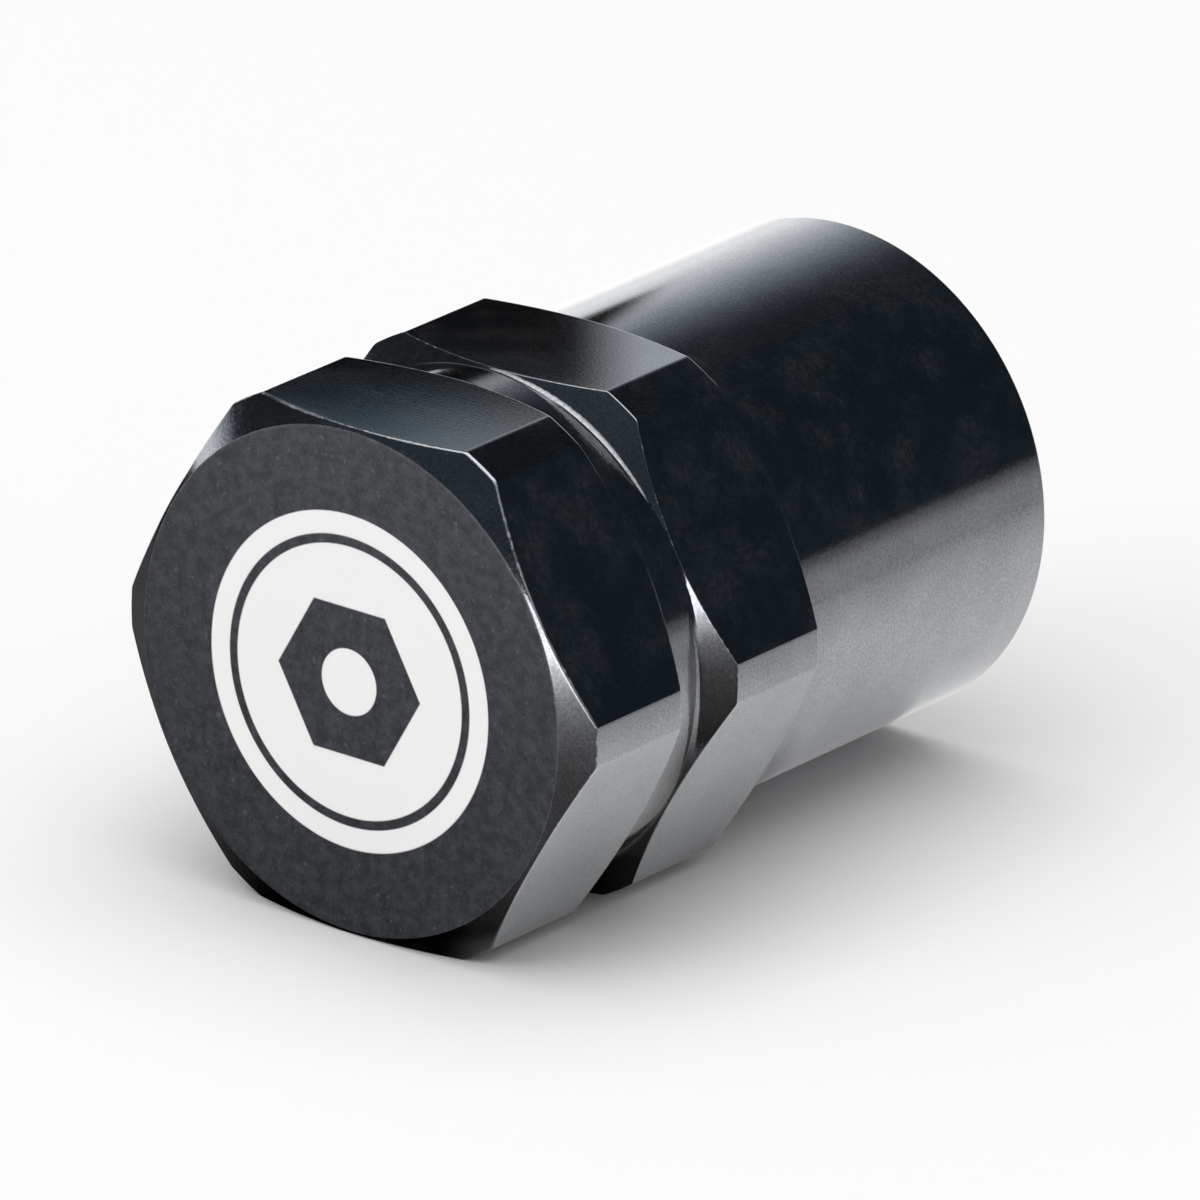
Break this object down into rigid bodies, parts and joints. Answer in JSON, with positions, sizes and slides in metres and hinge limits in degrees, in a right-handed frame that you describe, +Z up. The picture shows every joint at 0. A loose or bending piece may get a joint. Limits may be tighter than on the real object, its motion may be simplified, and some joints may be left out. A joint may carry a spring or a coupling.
{
  "type": "tyre valve cap",
  "caption": "Long hexagonal screw-on tyre valve cap: two wrench bands with a turned groove between them, and a thin round skirt around a blind threaded bore with a rubber seal.",
  "frame": {"origin": "on the surface the cap lies on, under the middle of its length, in the upright plane of its turning axis", "axes": "+Y along the turning axis from the closed head face to the open mouth, +Z up, square to the flat it lies on, +X towards a hex corner"},
  "size_m": [0.0134, 0.0176, 0.012],
  "materials": {
    "black_anodised": "turned and milled, anodised black, satin",
    "seal_rubber": "matt moulded black rubber"
  },
  "bodies": {
    "root": {"cap_body": "black_anodised", "seal_ring": "seal_rubber"}
  },
  "joints": []
}
